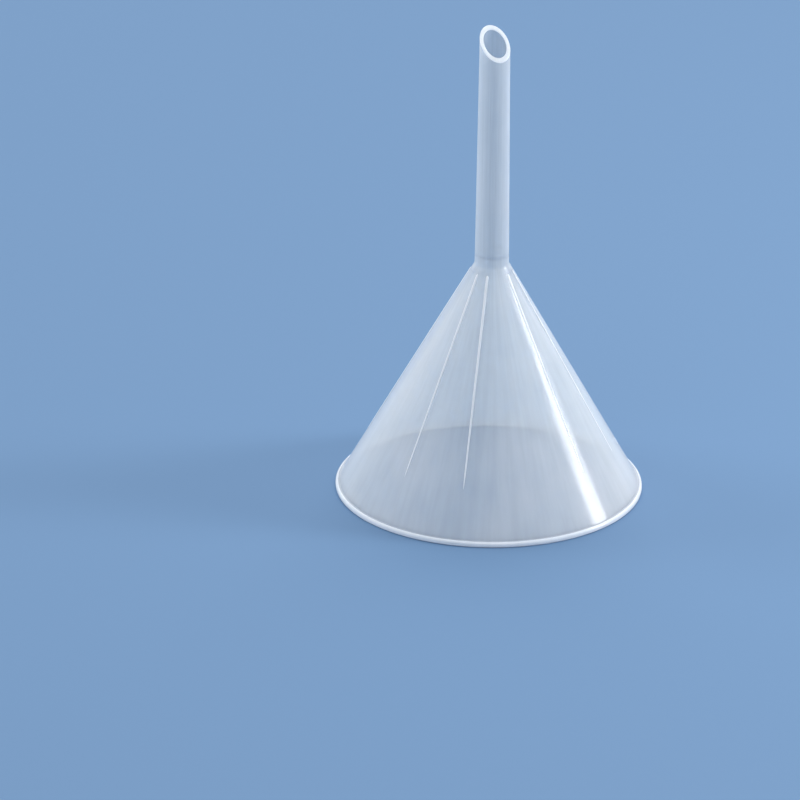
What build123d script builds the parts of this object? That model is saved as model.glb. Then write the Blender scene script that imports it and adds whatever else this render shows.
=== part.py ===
"""Analytical filter funnel in moulded polypropylene, standing inverted on its rim, stem up.

The funnel is one moulding. It is kept here as its named features, each a closed solid, and
neighbouring features meet face to face: the rim lip, the cone wall, the neck, the stem and the
vent ribs on the outside of the cone. Millimetres and degrees. The origin is the middle of the
rim's flat face, which rests on the bench, and +Z runs up the axis towards the stem's tip.
"""
from build123d import *
import os
from math import cos, radians, sin, tan

# Rim lip: a flat flange with a rounded edge, around the mouth.
rim_diameter = 100.0
lip_thickness = 1.7
lip_step = 1.3                # how far the lip stands out from the cone's outside
lip_top_rounding = 0.8
lip_foot_rounding = 0.5
mouth_rounding = 0.3          # the inside edge of the mouth

# Cone: exactly 60 degrees inside, a little less outside, so the wall thickens to the neck.
inside_cone_angle = 60.0
outside_cone_angle = 59.2
rim_wall = 1.5                # wall at the top of the lip, measured level

# Stem: a slight draft outside and in the bore, and a tip cut at a slant.
stem_root_diameter = 11.05
stem_tip_diameter = 9.6
stem_root_wall = 1.4
stem_tip_wall = 1.2
stem_length = 78.4            # from the neck's outside corner to the highest point of the tip
stem_blank_margin = 1.35      # how far the tube runs past the tip before it is cut
tip_cut_angle = 44.3          # slope of the cut from level
tip_cut_azimuth = -64.0       # the direction that the cut faces
tip_edge_rounding = 0.2

# Neck: the rounded corner between cone and stem. Its outside corner is higher than its inside one.
neck_below_inside_corner = 0.6
neck_above_outside_corner = 3.0
neck_outside_rounding = 2.5
neck_inside_rounding = 1.5

# Vent ribs: low ridges along the cone in pairs, lower towards the rim.
rib_pairs = 4
rib_pair_spread = 30.0        # angle between the two ribs of a pair
rib_first_azimuth = -116.3    # the direction of the middle of the first pair
rib_width = 0.9
rib_height_at_neck = 0.2
rib_height_at_end = 0.08
rib_blank_depth = 0.9         # how far a rib's plate reaches into the wall before it is trimmed
rib_gap_under_neck = 0.1      # upright distance between the ribs' upper ends and the neck
rib_end_above_lip = 14.0

rim_radius = rim_diameter / 2
outside_slope = tan(radians(outside_cone_angle / 2))
inside_slope = tan(radians(inside_cone_angle / 2))
cone_foot_radius = rim_radius - lip_step
mouth_radius = cone_foot_radius - rim_wall + lip_thickness * inside_slope
stem_root_radius = stem_root_diameter / 2
stem_tip_radius = stem_tip_diameter / 2
bore_root_radius = stem_root_radius - stem_root_wall
bore_tip_radius = stem_tip_radius - stem_tip_wall
outside_corner_z = lip_thickness + (cone_foot_radius - stem_root_radius) / outside_slope
inside_corner_z = (mouth_radius - bore_root_radius) / inside_slope
neck_bottom_z = min(outside_corner_z, inside_corner_z) - neck_below_inside_corner
neck_top_z = max(outside_corner_z, inside_corner_z) + neck_above_outside_corner
tip_z = outside_corner_z + stem_length


def cone_outside(z):
    """Outer radius of the cone at height z."""
    return cone_foot_radius - (z - lip_thickness) * outside_slope


def cone_inside(z):
    """Inner radius of the cone at height z."""
    return mouth_radius - z * inside_slope


def stem_outside(z):
    """Outer radius of the stem at height z."""
    share = (z - outside_corner_z) / stem_length
    return stem_root_radius + share * (stem_tip_radius - stem_root_radius)


def bore(z):
    """Radius of the stem's bore at height z, from the inside corner to the tip."""
    share = (z - inside_corner_z) / (tip_z - inside_corner_z)
    return bore_root_radius + share * (bore_tip_radius - bore_root_radius)


def corner_at(sketch, radius, z):
    """The sketch's vertex at this radius and height."""
    return sketch.vertices().sort_by_distance((radius, z, 0))[0]


def finish(piece, name):
    """Label a finished piece and write it to its own file."""
    piece.part.label = name
    export_step(piece.part, f"parts/{name}.step")


os.makedirs("parts", exist_ok=True)

# Rim lip: the full ring under the cone, from the mouth to the rounded outer edge.
with BuildPart() as rim_lip:
    with BuildSketch(Plane.XZ) as lip_section:
        with BuildLine():
            Polyline(
                (mouth_radius, 0),
                (rim_radius, 0),
                (rim_radius, lip_thickness),
                (cone_inside(lip_thickness), lip_thickness),
                close=True,
            )
        make_face()
        fillet(corner_at(lip_section, rim_radius, lip_thickness), lip_top_rounding)
        fillet(corner_at(lip_section, rim_radius, 0), lip_foot_rounding)
        fillet(corner_at(lip_section, mouth_radius, 0), mouth_rounding)
    revolve(axis=Axis.Z)
finish(rim_lip, "rim_lip")

# Cone wall: from the top of the lip to the underside of the neck.
with BuildPart() as cone_wall:
    with BuildSketch(Plane.XZ):
        with BuildLine():
            Polyline(
                (cone_inside(lip_thickness), lip_thickness),
                (cone_outside(lip_thickness), lip_thickness),
                (cone_outside(neck_bottom_z), neck_bottom_z),
                (cone_inside(neck_bottom_z), neck_bottom_z),
                close=True,
            )
        make_face()
    revolve(axis=Axis.Z)
finish(cone_wall, "cone_wall")

# Neck: both corners are rounded, the hollow one outside and the proud one inside.
with BuildPart() as neck:
    with BuildSketch(Plane.XZ) as neck_section:
        with BuildLine():
            Polyline(
                (cone_inside(neck_bottom_z), neck_bottom_z),
                (cone_outside(neck_bottom_z), neck_bottom_z),
                (stem_root_radius, outside_corner_z),
                (stem_outside(neck_top_z), neck_top_z),
                (bore(neck_top_z), neck_top_z),
                (bore_root_radius, inside_corner_z),
                close=True,
            )
        make_face()
        fillet(corner_at(neck_section, stem_root_radius, outside_corner_z), neck_outside_rounding)
        fillet(corner_at(neck_section, bore_root_radius, inside_corner_z), neck_inside_rounding)
    revolve(axis=Axis.Z)
finish(neck, "neck")

# Stem: a drafted tube from the neck, cut at a slant. The tube runs past the tip before the cut,
# and the cut plane passes through the outer surface at the highest point, tip_z.
cut_slope = tan(radians(tip_cut_angle))
cut_centre_z = tip_z - stem_tip_radius * cut_slope
cut_normal = Vector(
    sin(radians(tip_cut_angle)) * cos(radians(tip_cut_azimuth)),
    sin(radians(tip_cut_angle)) * sin(radians(tip_cut_azimuth)),
    cos(radians(tip_cut_angle)),
)
blank_top_z = tip_z + stem_blank_margin
with BuildPart() as stem:
    with BuildSketch(Plane.XZ):
        with BuildLine():
            Polyline(
                (bore(neck_top_z), neck_top_z),
                (stem_outside(neck_top_z), neck_top_z),
                (stem_outside(blank_top_z), blank_top_z),
                (bore(blank_top_z), blank_top_z),
                close=True,
            )
        make_face()
    revolve(axis=Axis.Z)
    split(bisect_by=Plane(origin=(0, 0, cut_centre_z), z_dir=cut_normal), keep=Keep.BOTTOM)
    cut_face = stem.faces().filter_by(GeomType.PLANE).sort_by(Axis.Z)[-1]
    fillet(cut_face.edges(), tip_edge_rounding)
finish(stem, "stem")

# Vent ribs: each is an upright plate along the cone, with the cone cut away from its inside.
rib_top_z = neck_bottom_z - rib_gap_under_neck
rib_end_z = lip_thickness + rib_end_above_lip
slant = radians(outside_cone_angle / 2)
for pair in range(rib_pairs):
    for side in (0, 1):
        azimuth = rib_first_azimuth + pair * 360.0 / rib_pairs + (side - 0.5) * rib_pair_spread
        outward = Vector(cos(radians(azimuth)), sin(radians(azimuth)), 0)
        rib_plane = Plane(origin=(0, 0, 0), x_dir=outward, z_dir=outward.cross(Vector(0, 0, 1)))
        with BuildPart() as vent_rib:
            with BuildSketch(rib_plane):
                with BuildLine():
                    Polyline(
                        (cone_outside(rib_end_z) - rib_blank_depth, rib_end_z),
                        (
                            cone_outside(rib_end_z) + rib_height_at_end * cos(slant),
                            rib_end_z + rib_height_at_end * sin(slant),
                        ),
                        (
                            cone_outside(rib_top_z) + rib_height_at_neck * cos(slant),
                            rib_top_z + rib_height_at_neck * sin(slant),
                        ),
                        (cone_outside(rib_top_z) - rib_blank_depth, rib_top_z),
                        close=True,
                    )
                make_face()
            extrude(amount=rib_width / 2, both=True)
            with Locations((0, 0, (lip_thickness + neck_top_z) / 2)):
                Cone(
                    cone_outside(lip_thickness),
                    cone_outside(neck_top_z),
                    neck_top_z - lip_thickness,
                    mode=Mode.SUBTRACT,
                )
        finish(vent_rib, f"vent_rib_{2 * pair + side + 1}")
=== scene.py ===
from math import cos, pi, radians, sin, tan

import bpy
import numpy as np
from bpy.props import FloatProperty, FloatVectorProperty, IntProperty, PointerProperty
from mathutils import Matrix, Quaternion, Vector


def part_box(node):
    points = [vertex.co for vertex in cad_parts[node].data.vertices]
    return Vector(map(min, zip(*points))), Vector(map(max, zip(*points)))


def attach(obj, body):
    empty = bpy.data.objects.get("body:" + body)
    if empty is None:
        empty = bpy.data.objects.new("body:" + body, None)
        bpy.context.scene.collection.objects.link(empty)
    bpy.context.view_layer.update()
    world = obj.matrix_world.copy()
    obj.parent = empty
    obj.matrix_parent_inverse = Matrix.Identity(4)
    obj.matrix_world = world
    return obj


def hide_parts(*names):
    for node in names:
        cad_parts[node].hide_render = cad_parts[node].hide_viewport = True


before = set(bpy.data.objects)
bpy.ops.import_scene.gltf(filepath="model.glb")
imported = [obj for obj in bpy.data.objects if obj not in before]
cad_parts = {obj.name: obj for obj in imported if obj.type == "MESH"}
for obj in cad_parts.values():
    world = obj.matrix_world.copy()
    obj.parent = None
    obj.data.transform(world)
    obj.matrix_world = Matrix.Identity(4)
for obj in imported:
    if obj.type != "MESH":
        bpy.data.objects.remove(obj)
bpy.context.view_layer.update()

bl_info = {
    "name": "Moulded Filter Funnel",
    "version": (1, 0, 0),
    "blender": (4, 5, 0),
    "location": "View3D > Sidebar > Funnel",
    "description": "Builds a translucent analytical funnel, its vent ribs and a plain studio around it",
    "category": "Add Mesh",
}

MM = 0.001
TOUCH = 1e-7                # how far apart two places may be and still count as one
FEATHER = 0.02 * MM         # thickness of the fillet's outermost edge, where it runs out on the lip
FILLET_RUN = 0.8            # how far the foot's fillet reaches out on the lip, as a share of its radius
AIM_HEIGHT = 60 * MM        # height of the point on the axis that the lights and camera are placed from
FLOOR_GAP = 0.02 * MM       # how far the floor lies below the rim
FLOOR_REACH = 6.0           # from the funnel to the floor's edge
CLOUD_DEPTH = 0.03          # how far the slow cloud moves the haze up and down
STREAK_DEPTH = 0.025        # how far the flow lines move it
RIB_NECK_END = 0.012        # share of a rib's length over which it rises at the neck
RIB_RIM_END = 0.12          # share of a rib's length over which it sinks towards the rim
RIBS = sorted(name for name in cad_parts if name.startswith("vent_rib_"))

LIP_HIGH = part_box("rim_lip")[1]
CONE_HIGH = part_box("cone_wall")[1]
NECK_LOW, NECK_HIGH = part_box("neck")


# ---------------------------------------------------------------- sizes and colours


class FunnelSizes(bpy.types.PropertyGroup):
    """Sizes of the moulding. What the frame knows comes from the frame."""

    rim_radius: FloatProperty(
        name="Rim radius", description="Outer radius of the lip",
        default=LIP_HIGH[0], unit="LENGTH", precision=5)
    lip_thickness: FloatProperty(
        name="Lip thickness", description="Height of the lip above the bench",
        default=LIP_HIGH[2], unit="LENGTH", precision=5)
    lip_top_rounding: FloatProperty(
        name="Lip top rounding", description="Radius of the lip's upper outer edge",
        default=0.8 * MM, unit="LENGTH", precision=5)
    lip_foot_rounding: FloatProperty(
        name="Lip foot rounding", description="Radius of the lip's lower outer edge",
        default=0.5 * MM, unit="LENGTH", precision=5)
    mouth_rounding: FloatProperty(
        name="Mouth rounding", description="Radius of the mouth's inner edge",
        default=0.3 * MM, unit="LENGTH", precision=5)
    cone_foot_radius: FloatProperty(
        name="Cone foot radius", description="Outer radius of the cone where it meets the lip",
        default=CONE_HIGH[0], unit="LENGTH", precision=5)
    foot_fillet: FloatProperty(
        name="Foot fillet", description="Radius of the hollow corner between cone and lip",
        default=0.4 * MM, unit="LENGTH", precision=5)
    rim_wall: FloatProperty(
        name="Rim wall", description="Wall of the cone at the lip, measured level",
        default=1.5 * MM, unit="LENGTH", precision=5)
    inside_half_angle: FloatProperty(
        name="Inside half angle", description="Slope of the cone's inside from the axis",
        default=radians(30.0), subtype="ANGLE")
    outside_half_angle: FloatProperty(
        name="Outside half angle", description="Slope of the cone's outside from the axis",
        default=radians(29.6), subtype="ANGLE")
    neck_bottom: FloatProperty(
        name="Neck bottom", description="Height where the cone passes into the neck",
        default=NECK_LOW[2], unit="LENGTH", precision=5)
    neck_top: FloatProperty(
        name="Neck top", description="Height where the neck passes into the stem",
        default=NECK_HIGH[2], unit="LENGTH", precision=5)
    neck_outside_rounding: FloatProperty(
        name="Neck outside rounding", description="Radius of the hollow corner at the neck",
        default=2.5 * MM, unit="LENGTH", precision=5)
    neck_inside_rounding: FloatProperty(
        name="Neck inside rounding", description="Radius of the proud corner inside the neck",
        default=1.5 * MM, unit="LENGTH", precision=5)
    stem_root_radius: FloatProperty(
        name="Stem root radius", description="Outer radius of the stem at the neck's corner",
        default=5.525 * MM, unit="LENGTH", precision=5)
    stem_tip_radius: FloatProperty(
        name="Stem tip radius", description="Outer radius of the stem at its tip",
        default=4.8 * MM, unit="LENGTH", precision=5)
    stem_root_wall: FloatProperty(
        name="Stem root wall", description="Wall of the stem at the neck",
        default=1.4 * MM, unit="LENGTH", precision=5)
    stem_tip_wall: FloatProperty(
        name="Stem tip wall", description="Wall of the stem at its tip",
        default=1.2 * MM, unit="LENGTH", precision=5)
    stem_length: FloatProperty(
        name="Stem length", description="From the neck's outside corner to the tip's highest point",
        default=78.4 * MM, unit="LENGTH", precision=5)
    tip_cut_angle: FloatProperty(
        name="Tip cut angle", description="Slope of the tip's cut from level",
        default=radians(44.3), subtype="ANGLE")
    tip_cut_azimuth: FloatProperty(
        name="Tip cut azimuth", description="Direction that the tip's cut faces",
        default=radians(-64.0), subtype="ANGLE")
    tip_edge_rounding: FloatProperty(
        name="Tip edge rounding", description="Radius of the edges of the tip's cut",
        default=0.2 * MM, unit="LENGTH", precision=5)
    rib_width_at_neck: FloatProperty(
        name="Rib width at neck", description="Full width of a rib at its upper end",
        default=0.9 * MM, unit="LENGTH", precision=5)
    rib_width_at_end: FloatProperty(
        name="Rib width at end", description="Full width of a rib at its lower end",
        default=0.5 * MM, unit="LENGTH", precision=5)
    rib_height_at_neck: FloatProperty(
        name="Rib height at neck", description="How proud a rib stands at its upper end",
        default=0.2 * MM, unit="LENGTH", precision=5)
    rib_height_at_end: FloatProperty(
        name="Rib height at end", description="How proud a rib stands at its lower end",
        default=0.08 * MM, unit="LENGTH", precision=5)
    rib_root: FloatProperty(
        name="Rib root", description="How deep a rib is rooted in the wall",
        default=0.12 * MM, unit="LENGTH", precision=5)
    segments: IntProperty(
        name="Segments", description="Steps around the axis", default=360, min=24, max=720)


class FunnelFinish(bpy.types.PropertyGroup):
    """Colours and finish of the plastic."""

    milk: FloatVectorProperty(
        name="Milk", description="Colour of the plastic's haze",
        default=(0.88, 0.92, 1.0), size=3, subtype="COLOR", min=0, max=1)
    milk_deep: FloatVectorProperty(
        name="Deep milk", description="Colour of the haze where it is thinnest",
        default=(0.82, 0.88, 0.96), size=3, subtype="COLOR", min=0, max=1)
    # Bore milk is painted shade: a darker grey haze colour that stands in for the shade inside the narrow
    # bore.
    bore_painted_shade: FloatVectorProperty(
        name="Bore milk", description="Colour of the haze inside the narrow bore",
        default=(0.58, 0.64, 0.70), size=3, subtype="COLOR", min=0, max=1)
    rib_milk: FloatVectorProperty(
        name="Rib milk", description="Colour of the proud ribs",
        default=(0.95, 0.97, 1.0), size=3, subtype="COLOR", min=0, max=1)
    wall_haze: FloatProperty(
        name="Wall haze", description="Share of the view that one surface of the wall hides",
        default=0.42, min=0, max=1, subtype="FACTOR")
    lip_haze: FloatProperty(
        name="Lip haze", description="Share of the view that the lip's rounded edge hides",
        default=0.88, min=0, max=1, subtype="FACTOR")
    cut_haze: FloatProperty(
        name="Cut haze", description="Share of the view that the tip's cut face hides",
        default=0.93, min=0, max=1, subtype="FACTOR")
    rib_haze: FloatProperty(
        name="Rib haze", description="Share of the view that one surface of a rib hides",
        default=0.9, min=0, max=1, subtype="FACTOR")
    slant_power: FloatProperty(
        name="Slant power", description="How late the wall's haze closes up towards a slanting view",
        default=3.0, min=0.5, max=10)
    stem_slant_power: FloatProperty(
        name="Stem slant power", description="How late the stem's haze closes up towards a slanting view",
        default=1.8, min=0.5, max=10)
    glow: FloatProperty(
        name="Glow", description="Share of the haze's light that wanders through the plastic",
        default=0.9, min=0, max=1, subtype="FACTOR")
    lip_glow: FloatProperty(
        name="Lip glow", description="The same share on the lip's rounded edge",
        default=0.35, min=0, max=1, subtype="FACTOR")
    glow_depth: FloatProperty(
        name="Glow depth", description="How far light wanders in the plastic",
        default=3.0 * MM, unit="LENGTH", precision=5)
    gloss_roughness: FloatProperty(
        name="Gloss roughness", description="Roughness of the moulded surface",
        default=0.12, min=0, max=1, subtype="FACTOR")


class StudioSettings(bpy.types.PropertyGroup):
    """Floor, lights and camera."""

    floor_colour: FloatVectorProperty(
        name="Floor colour", description="Colour of the plain floor",
        default=(0.15, 0.262, 0.43), size=3, subtype="COLOR", min=0, max=1)
    camera_elevation: FloatProperty(
        name="Camera elevation", description="Height of the camera above level, as an angle",
        default=radians(21.79), subtype="ANGLE")
    camera_distance: FloatProperty(
        name="Camera distance", description="From the middle of the cone to the camera",
        default=1.518, unit="LENGTH")
    camera_lens: FloatProperty(
        name="Camera lens", description="Focal length in millimetres on a 36 mm sensor", default=212.3)
    camera_roll: FloatProperty(
        name="Camera roll", description="Turn of the camera about its own axis",
        default=radians(0.37), subtype="ANGLE")


# ---------------------------------------------------------------- shapes


def rounded_loop(corners, radii, arc_steps=8, span_steps=24):
    """A closed outline through corners, each rounded by an arc of its own radius.

    An arc touches both sides at radius / tan(half the corner's angle) from the corner, and its
    points turn evenly about its centre. Between arcs the points stand at half a cosine's spacing,
    close together near the arcs, so that smooth shading stays true on the straight runs.
    """
    corners = np.asarray(corners, float)
    count = len(corners)
    runs, arcs = [], []
    for i in range(count):
        here = corners[i]
        back = corners[i - 1] - here
        ahead = corners[(i + 1) % count] - here
        back /= np.linalg.norm(back)
        ahead /= np.linalg.norm(ahead)
        half = np.arccos(np.clip(back @ ahead, -1, 1)) / 2
        if radii[i] == 0:
            arcs.append(here[None])
            continue
        reach = radii[i] / np.tan(half)
        middle = (back + ahead) / np.linalg.norm(back + ahead)
        centre = here + middle * radii[i] / np.sin(half)
        first, last = here + back * reach - centre, here + ahead * reach - centre
        turn = np.pi - 2 * half
        share = np.linspace(0, 1, arc_steps + 1)[:, None]
        arcs.append(
            centre + (np.sin((1 - share) * turn) * first + np.sin(share * turn) * last) / np.sin(turn))
    spacing = (1 - np.cos(np.pi * np.arange(1, span_steps) / span_steps))[:, None] / 2
    for i in range(count):
        a, b = arcs[i][-1], arcs[(i + 1) % count][0]
        runs.append(np.concatenate([arcs[i], a + (b - a) * spacing]))
    return np.concatenate(runs)


def ring_faces(rows, columns):
    """Quads of a grid that closes both ways: row i, column j joins row i + 1 and column j + 1."""
    i, j = np.meshgrid(np.arange(rows), np.arange(columns), indexing="ij")
    i2, j2 = (i + 1) % rows, (j + 1) % columns
    quads = np.stack([i * columns + j, i * columns + j2, i2 * columns + j2, i2 * columns + j], -1)
    return quads.reshape(-1, 4)


def revolved(outline, segments, lift=None):
    """Points of an outline (radius, height) turned about Z: (r cos a, r sin a, z), a from 0 to a turn.

    lift, where given, is a function of (radius, azimuth, height) that returns new radii and heights.
    """
    azimuth = np.linspace(0, 2 * pi, segments, endpoint=False)
    radius = np.repeat(outline[:, :1], segments, 1)
    height = np.repeat(outline[:, 1:], segments, 1)
    azimuth = np.repeat(azimuth[None], len(outline), 0)
    if lift:
        radius, height = lift(radius, azimuth, height)
    points = np.stack([radius * np.cos(azimuth), radius * np.sin(azimuth), height], -1)
    return points.reshape(-1, 3), ring_faces(len(outline), segments)


def put_mesh(name, points, faces, material, sharp=radians(40), levels=(), patches=()):
    """A new piece from points and faces, smooth except at corners sharper than the given angle.

    Level faces at one of the given (height, reach), out to that reach from the axis, are where the
    piece is joined to the next. Each of patches is a material and the mask of the faces that have it,
    and is used only where levels are given.
    """
    old = bpy.data.objects.get(name)
    if old:
        bpy.data.objects.remove(old)
    mesh = bpy.data.meshes.new(name)
    mesh.from_pydata(points, [], faces)
    mesh.polygons.foreach_set("use_smooth", np.ones(len(mesh.polygons), bool))
    mesh.set_sharp_from_angle(angle=sharp)
    mesh.materials.append(material)
    if levels:
        corners = np.asarray(points)[np.asarray(faces)]
        radius = np.hypot(corners[..., 0], corners[..., 1]).max(1)
        inside = np.zeros(len(faces), bool)
        for height, reach in levels:
            level = np.abs(corners[..., 2] - height).max(1) < TOUCH
            inside |= level & (radius < reach + TOUCH)
        index = np.zeros(len(faces), np.int32)
        for number, (plastic, mask) in enumerate([*patches, (joined(), inside)], start=1):
            mesh.materials.append(plastic)
            index[mask] = number
        mesh.polygons.foreach_set("material_index", index)
    mesh.validate()
    mesh.update()
    piece = bpy.data.objects.new(name, mesh)
    bpy.context.scene.collection.objects.link(piece)
    return piece


def settle(piece, node):
    """The piece rides on the body and stands for its CAD node, which it hides."""
    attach(piece, "root")
    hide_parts(node)


class Shape:
    """Radii and heights of the moulding, worked out from the sizes."""

    def __init__(self, size):
        self.size = size
        self.outside_slope = tan(size.outside_half_angle)
        self.inside_slope = tan(size.inside_half_angle)
        self.mouth = size.cone_foot_radius - size.rim_wall + size.lip_thickness * self.inside_slope
        self.outside_corner = (
            size.lip_thickness + (size.cone_foot_radius - size.stem_root_radius) / self.outside_slope)
        self.bore_root = size.stem_root_radius - size.stem_root_wall
        self.bore_tip = size.stem_tip_radius - size.stem_tip_wall
        self.inside_corner = (self.mouth - self.bore_root) / self.inside_slope
        self.tip = self.outside_corner + size.stem_length
        self.toe = size.cone_foot_radius + FILLET_RUN * size.foot_fillet

    def cone_outside(self, z):
        return self.size.cone_foot_radius - (z - self.size.lip_thickness) * self.outside_slope

    def cone_inside(self, z):
        return self.mouth - z * self.inside_slope

    def stem_outside(self, z):
        share = (z - self.outside_corner) / self.size.stem_length
        return self.size.stem_root_radius + share * (self.size.stem_tip_radius - self.size.stem_root_radius)

    def bore(self, z):
        share = (z - self.inside_corner) / (self.tip - self.inside_corner)
        return self.bore_root + share * (self.bore_tip - self.bore_root)


# ---------------------------------------------------------------- plastic


def new_group(name, inputs, outputs):
    """An empty shader node group with named sockets; each input is (name, type, default)."""
    group = bpy.data.node_groups.get(name)
    if group:
        bpy.data.node_groups.remove(group)
    group = bpy.data.node_groups.new(name, "ShaderNodeTree")
    for label, kind, default in inputs:
        socket = group.interface.new_socket(name=label, in_out="INPUT", socket_type=kind)
        if default is not None:
            socket.default_value = default
    for label, kind in outputs:
        group.interface.new_socket(name=label, in_out="OUTPUT", socket_type=kind)
    return group


def add(tree, kind, **settings):
    """A new node of this kind with the given attributes."""
    node = tree.nodes.new(kind)
    for key, value in settings.items():
        setattr(node, key, value)
    return node


def feed(tree, target, socket, source):
    """Link source, an output socket, or set a plain value on the target's socket."""
    if isinstance(source, bpy.types.NodeSocket):
        tree.links.new(source, target.inputs[socket])
    else:
        target.inputs[socket].default_value = source


def maths(tree, operation, *values):
    node = add(tree, "ShaderNodeMath", operation=operation)
    for index, value in enumerate(values):
        feed(tree, node, index, value)
    return node.outputs[0]


def noise(tree, vector, scale, detail=2.0, roughness=0.5):
    node = add(tree, "ShaderNodeTexNoise")
    feed(tree, node, "Vector", vector)
    feed(tree, node, "Scale", scale)
    feed(tree, node, "Detail", detail)
    feed(tree, node, "Roughness", roughness)
    return node.outputs["Fac"]


def remap(tree, value, low, high, to_low=0.0, to_high=1.0):
    node = add(tree, "ShaderNodeMapRange", interpolation_type="SMOOTHSTEP")
    for socket, number in zip(("Value", "From Min", "From Max", "To Min", "To Max"),
                              (value, low, high, to_low, to_high)):
        feed(tree, node, socket, number)
    return node.outputs["Result"]


def flow_group():
    """Draw lines and haze of a moulding with an axis along Z.

    The place is turned into (x / r, y / r, z), so a pattern that is fine around and long in z runs
    straight down the wall, with no seam. Haze is a slow cloud in the same coordinates.
    """
    group = new_group(
        "moulding_flow",
        [("Place", "NodeSocketVector", None), ("Line Scale", "NodeSocketFloat", 14.0),
         ("Haze Scale", "NodeSocketFloat", 35.0)],
        [("Lines", "NodeSocketFloat"), ("Haze", "NodeSocketFloat")])
    start = add(group, "NodeGroupInput")
    end = add(group, "NodeGroupOutput")
    parts = add(group, "ShaderNodeSeparateXYZ")
    feed(group, parts, 0, start.outputs["Place"])
    flat = add(group, "ShaderNodeCombineXYZ")
    feed(group, flat, "X", parts.outputs["X"])
    feed(group, flat, "Y", parts.outputs["Y"])
    unit = add(group, "ShaderNodeVectorMath", operation="NORMALIZE")
    feed(group, unit, 0, flat.outputs[0])
    along = add(group, "ShaderNodeCombineXYZ")
    feed(group, along, "Z", maths(group, "MULTIPLY", parts.outputs["Z"], 3.0))
    place = add(group, "ShaderNodeVectorMath", operation="ADD")
    feed(group, place, 0, unit.outputs[0])
    feed(group, place, 1, along.outputs[0])
    lines = noise(group, place.outputs[0], start.outputs["Line Scale"], 4.0, 0.6)
    haze = noise(group, start.outputs["Place"], start.outputs["Haze Scale"], 2.0, 0.5)
    feed(group, end, "Lines", lines)
    feed(group, end, "Haze", haze)
    return group


def handling_group():
    """Fine hairlines and dull spots from handling, and a dull foot where the rim rubs the bench.

    Hairlines are the thin level lines of a stretched noise: 1 where the noise is within Width of
    one half. Dull is the stronger of two masks: the spots at half strength, and the foot, which is
    1 at the bench and falls to 0 at Foot Height.
    """
    group = new_group(
        "handling_marks",
        [("Place", "NodeSocketVector", None), ("Scale", "NodeSocketFloat", 60.0),
         ("Width", "NodeSocketFloat", 0.004), ("Foot Height", "NodeSocketFloat", 0.5 * MM)],
        [("Hairlines", "NodeSocketFloat"), ("Dull", "NodeSocketFloat")])
    start = add(group, "NodeGroupInput")
    end = add(group, "NodeGroupOutput")
    hairlines = None
    for turn in ((0.5, 0.2, 0.9), (1.4, 2.1, 0.3)):
        mapping = add(group, "ShaderNodeMapping")
        feed(group, mapping, "Vector", start.outputs["Place"])
        feed(group, mapping, "Rotation", turn)
        feed(group, mapping, "Scale", (1.0, 0.12, 1.0))
        field = noise(group, mapping.outputs[0], start.outputs["Scale"], 1.0, 0.4)
        off = maths(group, "ABSOLUTE", maths(group, "SUBTRACT", field, 0.5))
        line = maths(group, "LESS_THAN", off, start.outputs["Width"])
        broken = remap(group, noise(group, mapping.outputs[0], 220.0, 1.0), 0.52, 0.6)
        line = maths(group, "MULTIPLY", line, broken)
        hairlines = line if hairlines is None else maths(group, "MAXIMUM", hairlines, line)
    spots = remap(group, noise(group, start.outputs["Place"], 900.0, 3.0, 0.6), 0.6, 0.75)
    parts = add(group, "ShaderNodeSeparateXYZ")
    feed(group, parts, 0, start.outputs["Place"])
    foot = maths(group, "SUBTRACT", 1.0, remap(group, parts.outputs["Z"], 0.0, start.outputs["Foot Height"]))
    feed(group, end, "Hairlines", hairlines)
    feed(group, end, "Dull", maths(group, "MAXIMUM", maths(group, "MULTIPLY", spots, 0.5), foot))
    return group


def shared(name, make):
    """The named node group, made the first time it is asked for."""
    return bpy.data.node_groups.get(name) or make()


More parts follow.
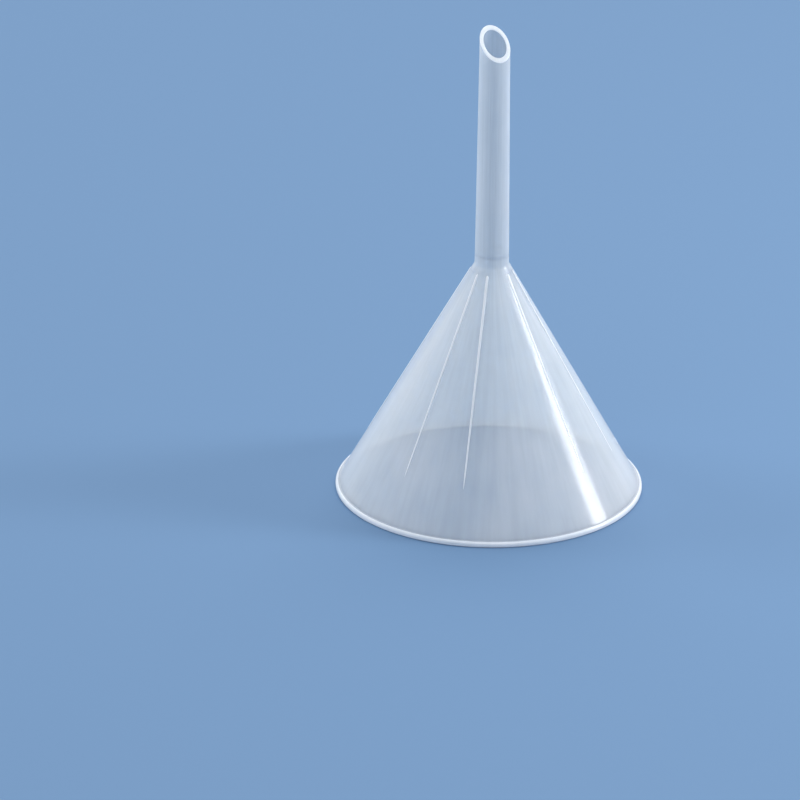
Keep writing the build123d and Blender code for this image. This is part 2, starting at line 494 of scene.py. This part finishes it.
def polypropylene(name, haze, slant_power=None, milk=None, glow=None):
    """Milky see-through plastic with a glossy skin.

    haze is the share of what lies behind that the surface hides where it is met square on. With a
    slant_power it rises towards 1 where the surface is met at a slant, because more plastic is
    looked through. milk and glow, where given, take the place of the wall's own.
    """
    finish = bpy.context.scene.funnel_finish
    material = bpy.data.materials.get(name)
    if material:
        return material
    material = bpy.data.materials.new(name)
    material.use_nodes = True
    tree = material.node_tree
    tree.nodes.clear()
    out = add(tree, "ShaderNodeOutputMaterial")
    shader = add(tree, "ShaderNodeBsdfPrincipled")
    place = add(tree, "ShaderNodeTexCoord").outputs["Object"]
    flow = add(tree, "ShaderNodeGroup", node_tree=shared("moulding_flow", flow_group))
    feed(tree, flow, "Place", place)
    marks = add(tree, "ShaderNodeGroup", node_tree=shared("handling_marks", handling_group))
    feed(tree, marks, "Place", place)

    tint = add(tree, "ShaderNodeMix", data_type="RGBA")
    feed(tree, tint, "Factor", remap(tree, flow.outputs["Haze"], 0.3, 0.7))
    tint.inputs["A"].default_value = (*(milk or finish.milk_deep), 1)
    tint.inputs["B"].default_value = (*(milk or finish.milk), 1)
    feed(tree, shader, "Base Color", tint.outputs["Result"])

    cloud = remap(tree, flow.outputs["Haze"], 0.25, 0.75, -CLOUD_DEPTH, CLOUD_DEPTH)
    streak = remap(tree, flow.outputs["Lines"], 0.3, 0.7, -STREAK_DEPTH, STREAK_DEPTH)
    clear = maths(tree, "SUBTRACT", 1.0, maths(tree, "ADD", haze, maths(tree, "ADD", cloud, streak)))
    if slant_power:
        slant = add(tree, "ShaderNodeLayerWeight")
        slant.inputs["Blend"].default_value = 0.5
        rise = maths(tree, "POWER", slant.outputs["Facing"], slant_power)
        clear = maths(tree, "MULTIPLY", clear, maths(tree, "SUBTRACT", 1.0, rise))
    feed(tree, shader, "Alpha", maths(tree, "SUBTRACT", 1.0, clear))

    rough = finish.gloss_roughness
    streaks = remap(tree, flow.outputs["Lines"], 0.35, 0.65, rough - 0.02, rough + 0.02)
    dull = maths(tree, "MULTIPLY_ADD", marks.outputs["Dull"], 0.1, streaks)
    feed(tree, shader, "Roughness", maths(tree, "MULTIPLY_ADD", marks.outputs["Hairlines"], 0.1, dull))

    relief = maths(tree, "MULTIPLY_ADD", marks.outputs["Hairlines"], -0.1, flow.outputs["Lines"])
    bump = add(tree, "ShaderNodeBump")
    feed(tree, bump, "Strength", 0.2)
    feed(tree, bump, "Distance", 0.03 * MM)
    feed(tree, bump, "Height", relief)
    feed(tree, shader, "Normal", bump.outputs["Normal"])

    shader.subsurface_method = "RANDOM_WALK"
    feed(tree, shader, "Subsurface Weight", finish.glow if glow is None else glow)
    feed(tree, shader, "Subsurface Radius", (1.0, 1.0, 1.0))
    feed(tree, shader, "Subsurface Scale", finish.glow_depth)
    feed(tree, shader, "IOR", 1.49)
    feed(tree, shader, "Specular IOR Level", 0.5)
    tree.links.new(shader.outputs[0], out.inputs["Surface"])
    return material


def stem_plastic():
    """The wall's plastic, whose haze closes up sooner because the stem's wall curves more tightly."""
    finish = bpy.context.scene.funnel_finish
    return polypropylene("polypropylene_stem", finish.wall_haze, slant_power=finish.stem_slant_power)


def lip_plastic():
    """The lip's rounded edge, which gathers light along the flange and sends it out again."""
    finish = bpy.context.scene.funnel_finish
    return polypropylene("polypropylene_lip", finish.lip_haze, glow=finish.lip_glow)


def foot_plastic():
    """The wall's plastic where the fillet runs out thin on the flange, with less glow to lose there."""
    finish = bpy.context.scene.funnel_finish
    return polypropylene("polypropylene_foot", finish.wall_haze, finish.slant_power, glow=finish.lip_glow)


def between(rings, segments):
    """The mask of the faces whose two rings are both chosen."""
    return np.repeat(rings & np.roll(rings, -1), segments)


def bore_patch(outline, radius, segments):
    """The bore's plastic, coloured darker grey as painted shade for the shade inside the narrow bore, and
    the faces of an outline no further out than this radius.
    """
    finish = bpy.context.scene.funnel_finish
    material = polypropylene("polypropylene_bore_painted_shade", finish.wall_haze, milk=finish.bore_painted_shade, glow=0)
    return material, between(outline[:, 0] < radius + TOUCH, segments)


def joined():
    """The faces where one feature passes into the next lie inside the plastic, so they don't show."""
    material = bpy.data.materials.get("joined_face")
    if not material:
        material = bpy.data.materials.new("joined_face")
        material.use_nodes = True
        material.node_tree.nodes["Principled BSDF"].inputs["Alpha"].default_value = 0
    return material


# ---------------------------------------------------------------- operators


class FUNNEL_OT_rim_lip(bpy.types.Operator):
    """Make the flat flange with a rounded edge around the mouth"""

    bl_idname = "funnel.rim_lip"
    bl_label = "Rim Lip"

    def execute(self, context):
        size, finish = context.scene.funnel_sizes, context.scene.funnel_finish
        shape = Shape(size)
        outline = rounded_loop(
            [(shape.mouth, 0), (size.rim_radius, 0), (size.rim_radius, size.lip_thickness),
             (shape.toe, size.lip_thickness), (shape.cone_inside(size.lip_thickness), size.lip_thickness)],
            [size.mouth_rounding, size.lip_foot_rounding, size.lip_top_rounding, 0, 0],
            arc_steps=10, span_steps=10)
        points, faces = revolved(outline, size.segments)
        material = polypropylene("polypropylene_wall", finish.wall_haze, finish.slant_power)
        levels = ((size.lip_thickness, shape.toe),)
        edge = outline[:, 0] > size.rim_radius - size.lip_top_rounding - TOUCH
        top = (outline[:, 0] > shape.toe - TOUCH) & (outline[:, 1] > size.lip_thickness - TOUCH)
        patches = [(lip_plastic(), between(edge, size.segments)),
                   (foot_plastic(), between(top, size.segments))]
        piece = put_mesh("rim_lip_moulded", points, faces, material, levels=levels, patches=patches)
        settle(piece, "rim_lip")
        return {"FINISHED"}


class FUNNEL_OT_cone_wall(bpy.types.Operator):
    """Make the cone's wall, with a small hollow fillet where it stands on the lip"""

    bl_idname = "funnel.cone_wall"
    bl_label = "Cone Wall"

    def execute(self, context):
        size, finish = context.scene.funnel_sizes, context.scene.funnel_finish
        shape = Shape(size)
        foot, toe = size.lip_thickness, shape.toe
        brim = foot + FEATHER
        outline = rounded_loop(
            [(shape.cone_inside(foot), foot), (toe, foot), (toe, brim), (shape.cone_outside(brim), brim),
             (shape.cone_outside(size.neck_bottom), size.neck_bottom),
             (shape.cone_inside(size.neck_bottom), size.neck_bottom)],
            [0, 0, 0, size.foot_fillet, 0, 0], arc_steps=10, span_steps=24)
        points, faces = revolved(outline, size.segments)
        material = polypropylene("polypropylene_wall", finish.wall_haze, finish.slant_power)
        levels = ((foot, toe), (size.neck_bottom, toe))
        outside = outline[:, 0] > size.cone_foot_radius - size.rim_wall / 2
        fillet = outside & (outline[:, 1] < foot + size.foot_fillet)
        patches = [(foot_plastic(), between(fillet, size.segments))]
        piece = put_mesh("cone_wall_moulded", points, faces, material, levels=levels, patches=patches)
        settle(piece, "cone_wall")
        return {"FINISHED"}


class FUNNEL_OT_neck(bpy.types.Operator):
    """Make the rounded corner between the cone and the stem"""

    bl_idname = "funnel.neck"
    bl_label = "Neck"

    def execute(self, context):
        size = context.scene.funnel_sizes
        shape = Shape(size)
        low, high = size.neck_bottom, size.neck_top
        outline = rounded_loop(
            [(shape.cone_inside(low), low), (shape.cone_outside(low), low),
             (size.stem_root_radius, shape.outside_corner), (shape.stem_outside(high), high),
             (shape.bore(high), high), (shape.bore_root, shape.inside_corner)],
            [0, 0, size.neck_outside_rounding, 0, 0, size.neck_inside_rounding],
            arc_steps=12, span_steps=10)
        points, faces = revolved(outline, size.segments)
        levels = ((low, shape.toe), (high, shape.toe))
        patches = [bore_patch(outline, shape.bore_root, size.segments)]
        piece = put_mesh("neck_moulded", points, faces, stem_plastic(), levels=levels, patches=patches)
        settle(piece, "neck")
        return {"FINISHED"}


class FUNNEL_OT_stem(bpy.types.Operator):
    """Make the drafted stem with its slant-cut tip"""

    bl_idname = "funnel.stem"
    bl_label = "Stem"

    def execute(self, context):
        size, finish = context.scene.funnel_sizes, context.scene.funnel_finish
        shape = Shape(size)
        low = size.neck_top
        slope = tan(size.tip_cut_angle)
        cut_centre = shape.tip - size.stem_tip_radius * slope
        length = cut_centre - low

        def slant(across, azimuth, height):
            """Each ring leans by its share of the stem's length, so that the last lies in the cut.

            across is the share of the wall from bore to outside; the radius follows the height,
            which follows the radius, and three rounds settle them.
            """
            share = (height - low) / length
            radius = np.full_like(height, size.stem_tip_radius)
            for _ in range(3):
                z = height - share * slope * radius * np.cos(azimuth - size.tip_cut_azimuth)
                inner, outer = shape.bore(z), shape.stem_outside(z)
                radius = inner + across / size.stem_tip_wall * (outer - inner)
            return radius, z

        outline = rounded_loop(
            [(0, low), (size.stem_tip_wall, low), (size.stem_tip_wall, cut_centre), (0, cut_centre)],
            [0, 0, size.tip_edge_rounding, size.tip_edge_rounding], arc_steps=6, span_steps=24)
        segments = size.segments // 2
        points, faces = revolved(outline, segments, slant)
        at_cut = outline[:, 1] > cut_centre - size.tip_edge_rounding - TOUCH
        cut_plastic = polypropylene("polypropylene_cut", finish.cut_haze)
        patches = [bore_patch(outline, 0, segments), (cut_plastic, between(at_cut, segments))]
        levels = ((low, shape.toe),)
        piece = put_mesh("stem_moulded", points, faces, stem_plastic(), levels=levels, patches=patches)
        settle(piece, "stem")
        return {"FINISHED"}


class FUNNEL_OT_vent_ribs(bpy.types.Operator):
    """Make the low ridges along the cone"""

    bl_idname = "funnel.vent_ribs"
    bl_label = "Vent Ribs"

    def execute(self, context):
        size, finish = context.scene.funnel_sizes, context.scene.funnel_finish
        shape = Shape(size)
        material = polypropylene("polypropylene_rib", finish.rib_haze, milk=finish.rib_milk, glow=0)
        for name in RIBS:
            low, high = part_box(name)
            azimuth = np.arctan2(low[1] + high[1], low[0] + high[0])
            points, faces = self.ridge(size, shape, low[2], high[2], azimuth)
            settle(put_mesh(f"{name}_ridge", points, faces, material), name)
        return {"FINISHED"}

    @staticmethod
    def ridge(size, shape, low, high, azimuth, rows=96, columns=20):
        """A half-round ridge down the cone, closed to a point at both ends.

        At share u of the way down, the section is a half ellipse outwards, height h(u) and half
        width a(u), and a flatter one inwards that roots it in the wall. Both shrink to nothing at
        the ends, over a short quarter circle at the neck and a long one towards the rim.
        """
        u = ((1 - np.cos(np.linspace(0, pi, rows + 2))) / 2)[1:-1, None]
        v = np.linspace(0, 2 * pi, columns, endpoint=False)[None]
        rise = np.sqrt(1 - np.clip(1 - u / RIB_NECK_END, 0, 1) ** 2)
        sink = np.sqrt(1 - np.clip(1 - (1 - u) / RIB_RIM_END, 0, 1) ** 2)
        ends = rise * sink
        half = ends * (size.rib_width_at_neck + u * (size.rib_width_at_end - size.rib_width_at_neck)) / 2
        proud = ends * (size.rib_height_at_neck + u * (size.rib_height_at_end - size.rib_height_at_neck))
        aside = half * np.cos(v)
        out = np.where(np.sin(v) > 0, proud, size.rib_root * ends) * np.sin(v)
        slant = size.outside_half_angle
        top = high - size.rib_height_at_neck * sin(slant)
        z = top + (low - top) * u
        radius = shape.cone_outside(z) + out * cos(slant)
        across = np.array([-sin(azimuth), cos(azimuth)])
        outward = np.array([cos(azimuth), sin(azimuth)])
        flat = radius[..., None] * outward + aside[..., None] * across
        grid = np.concatenate([flat, (z + out * sin(slant))[..., None]], -1).reshape(-1, 3)
        poles = [[shape.cone_outside(end) * outward[0], shape.cone_outside(end) * outward[1], end]
                 for end in (top, low)]
        points = np.concatenate([grid, poles])
        i, j = np.meshgrid(np.arange(rows - 1), np.arange(columns), indexing="ij")
        j2, below = (j + 1) % columns, (i + 1) * columns
        quads = np.stack([i * columns + j, below + j, below + j2, i * columns + j2], -1)
        ring, after = np.arange(columns), (np.arange(columns) + 1) % columns
        first, last = rows * columns, (rows - 1) * columns
        caps = [np.stack([np.full(columns, first), ring, after], -1),
                np.stack([np.full(columns, first + 1), last + after, last + ring], -1)]
        faces = quads.reshape(-1, 4).tolist() + np.concatenate(caps).tolist()
        return points, faces


class FUNNEL_OT_studio(bpy.types.Operator):
    """Set up the plain floor, the soft lights and the camera"""

    bl_idname = "funnel.studio"
    bl_label = "Studio"

    def execute(self, context):
        studio = context.scene.funnel_studio
        self.floor(studio)
        self.lights()
        self.camera(context.scene, studio)
        return {"FINISHED"}

    @staticmethod
    def floor(studio):
        """A wide level sheet a hair below the rim."""
        reach = FLOOR_REACH
        points = [(-reach, -reach, 0), (reach, -reach, 0), (reach, reach, 0), (-reach, reach, 0)]
        material = bpy.data.materials.new("studio_floor")
        material.use_nodes = True
        shader = material.node_tree.nodes["Principled BSDF"]
        shader.inputs["Base Color"].default_value = (*studio.floor_colour, 1)
        shader.inputs["Roughness"].default_value = 0.8
        shader.inputs["Specular IOR Level"].default_value = 0.2
        floor = put_mesh("studio_floor", points, [(0, 1, 2, 3)], material)
        floor.location.z = -FLOOR_GAP

    @staticmethod
    def lights():
        """Soft boxes: azimuth and elevation in degrees, distance, width, height, then power in watts."""
        middle = Vector((0, 0, AIM_HEIGHT))
        boxes = {
            "strip_right": (2.3, 21.2, 1.0, 0.22, 0.42, 5.4),
            "bank_left": (165.0, 18.0, 3.9, 2.1, 1.8, 54.0),
            "bank_front": (-110.0, 25.0, 4.5, 3.6, 3.0, 27.0),
            "bank_back": (85.0, 45.0, 3.2, 3.6, 2.4, 60.0),
            "bank_top": (-80.0, 75.0, 1.6, 1.8, 1.8, 5.0),
        }
        for name, (azimuth, elevation, distance, width, height, power) in boxes.items():
            light = bpy.data.lights.new(name, "AREA")
            light.shape, light.size, light.size_y, light.energy = "RECTANGLE", width, height, power
            lamp = bpy.data.objects.new(name, light)
            lamp.visible_glossy = name not in ("bank_left", "bank_front")
            a, e = radians(azimuth), radians(elevation)
            way = Vector((cos(a) * cos(e), sin(a) * cos(e), sin(e)))
            lamp.location = middle + way * distance
            lamp.rotation_euler = way.to_track_quat("Z", "Y").to_euler()
            bpy.context.scene.collection.objects.link(lamp)
        world = bpy.context.scene.world or bpy.data.worlds.new("studio")
        bpy.context.scene.world = world
        world.use_nodes = True
        background = world.node_tree.nodes["Background"]
        background.inputs["Color"].default_value = (0.86, 0.92, 1.0, 1)
        background.inputs["Strength"].default_value = 0.55
        bpy.context.scene.view_settings.view_transform = "Standard"

    @staticmethod
    def camera(scene, studio):
        """Far away with a long lens, aimed a little left of the cone's middle and below it."""
        middle, left, below = Vector((0, 0, AIM_HEIGHT)), 28.9 * MM, 28.2 * MM
        e = studio.camera_elevation
        back, up = Vector((0, -cos(e), sin(e))), Vector((0, sin(e), cos(e)))
        lens = bpy.data.cameras.new("view")
        lens.sensor_width, lens.lens, lens.clip_end = 36.0, studio.camera_lens, 100.0
        camera = bpy.data.objects.new("view", lens)
        camera.location = middle + back * studio.camera_distance
        aim = middle - Vector((left, 0, 0)) - up * below
        turn = (camera.location - aim).to_track_quat("Z", "Y")
        camera.rotation_euler = (turn @ Quaternion((0, 0, 1), studio.camera_roll)).to_euler()
        scene.collection.objects.link(camera)
        scene.camera = camera


class FUNNEL_PT_panel(bpy.types.Panel):
    """Sizes, finish and the steps that build the funnel"""

    bl_idname = "FUNNEL_PT_panel"
    bl_label = "Moulded Filter Funnel"
    bl_space_type = "VIEW_3D"
    bl_region_type = "UI"
    bl_category = "Funnel"

    def draw(self, context):
        layout, scene = self.layout, context.scene
        for step in STEPS:
            layout.operator(step.bl_idname)
        for settings in (scene.funnel_sizes, scene.funnel_finish, scene.funnel_studio):
            box = layout.box()
            for name in settings.__annotations__:
                box.prop(settings, name)


STEPS = (FUNNEL_OT_studio, FUNNEL_OT_rim_lip, FUNNEL_OT_cone_wall, FUNNEL_OT_neck, FUNNEL_OT_stem,
         FUNNEL_OT_vent_ribs)
SETTINGS = {"funnel_sizes": FunnelSizes, "funnel_finish": FunnelFinish, "funnel_studio": StudioSettings}


def register():
    for cls in (*SETTINGS.values(), *STEPS, FUNNEL_PT_panel):
        bpy.utils.register_class(cls)
    for name, group in SETTINGS.items():
        setattr(bpy.types.Scene, name, PointerProperty(type=group))


def unregister():
    for name in SETTINGS:
        delattr(bpy.types.Scene, name)
    for cls in reversed((*SETTINGS.values(), *STEPS, FUNNEL_PT_panel)):
        bpy.utils.unregister_class(cls)


def main():
    register()
    bpy.ops.funnel.studio()
    bpy.ops.funnel.rim_lip()
    bpy.ops.funnel.cone_wall()
    bpy.ops.funnel.neck()
    bpy.ops.funnel.stem()
    bpy.ops.funnel.vent_ribs()


if __name__ == "__main__":
    main()
